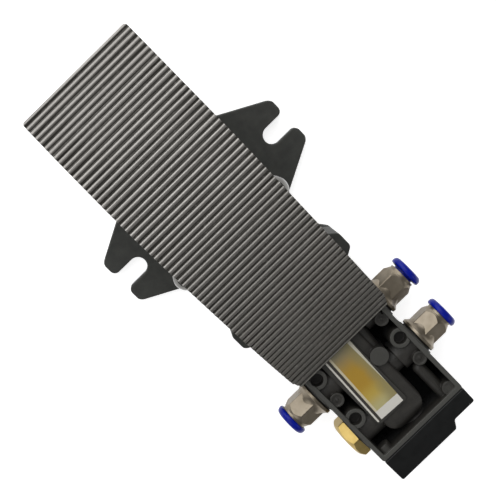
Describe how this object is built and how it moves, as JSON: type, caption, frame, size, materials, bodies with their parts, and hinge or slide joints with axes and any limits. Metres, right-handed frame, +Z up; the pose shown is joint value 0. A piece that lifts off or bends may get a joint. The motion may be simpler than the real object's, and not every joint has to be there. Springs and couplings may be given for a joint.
{
  "type": "foot pedal air valve",
  "caption": "Foot pedal air valve: an arched ribbed pedal rocks on a pin in a slotted cast frame and pushes the spool of an open-topped valve body with push-in tube fittings.",
  "frame": {"origin": "on the underside of the cast frame, midway between the two mounting slots", "axes": "+X to the right with the pedal toe ahead, +Y towards the toe end of the pedal along the spool, +Z up from the floor"},
  "size_m": [0.106, 0.2305, 0.0635],
  "materials": {
    "pedal_grey": "satin",
    "pin_steel": "polished",
    "screw_steel": "black oxide",
    "frame_black": "satin",
    "bush_bronze": "machined",
    "buffer_rubber": "matte",
    "body_grey": "satin",
    "gland_brass": "machined",
    "seal_rubber": "matte",
    "spool_aluminium": "machined",
    "rod_steel": "ground",
    "spring_steel": "bright",
    "cap_black": "gloss",
    "label_gold": "printed foil",
    "silencer_brass": "polished",
    "silencer_sinter": "sintered",
    "fitting_nickel": "nickel plated",
    "guide_brass": "machined",
    "collar_blue": "satin"
  },
  "bodies": {
    "frame": {"base_frame": "frame_black", "left_cheek": "frame_black", "right_cheek": "frame_black", "heel_post": "frame_black", "toe_post": "frame_black", "pivot_bushes": "bush_bronze", "press_buffer": "buffer_rubber", "rest_buffer": "buffer_rubber", "rod_bush": "bush_bronze", "valve_body": "body_grey", "front_gland": "gland_brass", "rod_seal": "seal_rubber", "return_spring": "spring_steel", "end_cap": "cap_black", "end_cap_gasket": "seal_rubber", "end_cap_screws": "screw_steel", "body_screws": "screw_steel", "label_plate": "label_gold", "silencer_body": "silencer_brass", "silencer_disc": "silencer_sinter", "fitting_a_body": "fitting_nickel", "fitting_a_tube_seal": "seal_rubber", "fitting_a_grab_ring": "spring_steel", "fitting_a_guide": "guide_brass", "fitting_a_face_seal": "seal_rubber", "fitting_b_body": "fitting_nickel", "fitting_b_tube_seal": "seal_rubber", "fitting_b_grab_ring": "spring_steel", "fitting_b_guide": "guide_brass", "fitting_b_face_seal": "seal_rubber", "fitting_p_body": "fitting_nickel", "fitting_p_tube_seal": "seal_rubber", "fitting_p_grab_ring": "spring_steel", "fitting_p_guide": "guide_brass", "fitting_p_face_seal": "seal_rubber"},
    "pedal": {"pedal": "pedal_grey", "pivot_pin": "pin_steel", "pin_cap": "pin_steel", "adjusting_screw": "screw_steel", "lock_nut": "screw_steel"},
    "spool": {"spool": "spool_aluminium", "spool_seals": "seal_rubber", "push_rod": "rod_steel"},
    "collar_a": {"fitting_a_collar": "collar_blue"},
    "collar_b": {"fitting_b_collar": "collar_blue"},
    "collar_p": {"fitting_p_collar": "collar_blue"}
  },
  "joints": [
    {"name": "pedal_press", "type": "hinge", "parent": "frame", "child": "pedal", "pos_m": [0, -0.0124, 0.0505], "axis": [-1, 0, 0], "range_deg": [0, 8], "stiffness_Nm_per_rad": 2, "springref_deg": -22.92},
    {"name": "spool_slide", "type": "slide", "parent": "frame", "child": "spool", "axis": [0, -1, 0], "range_m": [0, 0.00502], "deforming": ["return_spring"]},
    {"name": "release_collar_a", "type": "slide", "parent": "frame", "child": "collar_a", "axis": [-1, 0, 0], "range_m": [0, 0.0022], "stiffness_N_per_m": 300, "springref_m": -0.001},
    {"name": "release_collar_p", "type": "slide", "parent": "frame", "child": "collar_p", "axis": [1, 0, 0], "range_m": [0, 0.001], "stiffness_N_per_m": 300, "springref_m": -0.001},
    {"name": "release_collar_b", "type": "slide", "parent": "frame", "child": "collar_b", "axis": [-1, 0, 0], "range_m": [0, 0.001], "stiffness_N_per_m": 300, "springref_m": -0.001}
  ],
  "couplings": [
    {"joint": "spool_slide", "follows": "pedal_press", "m_per_rad": 0.035907}
  ]
}
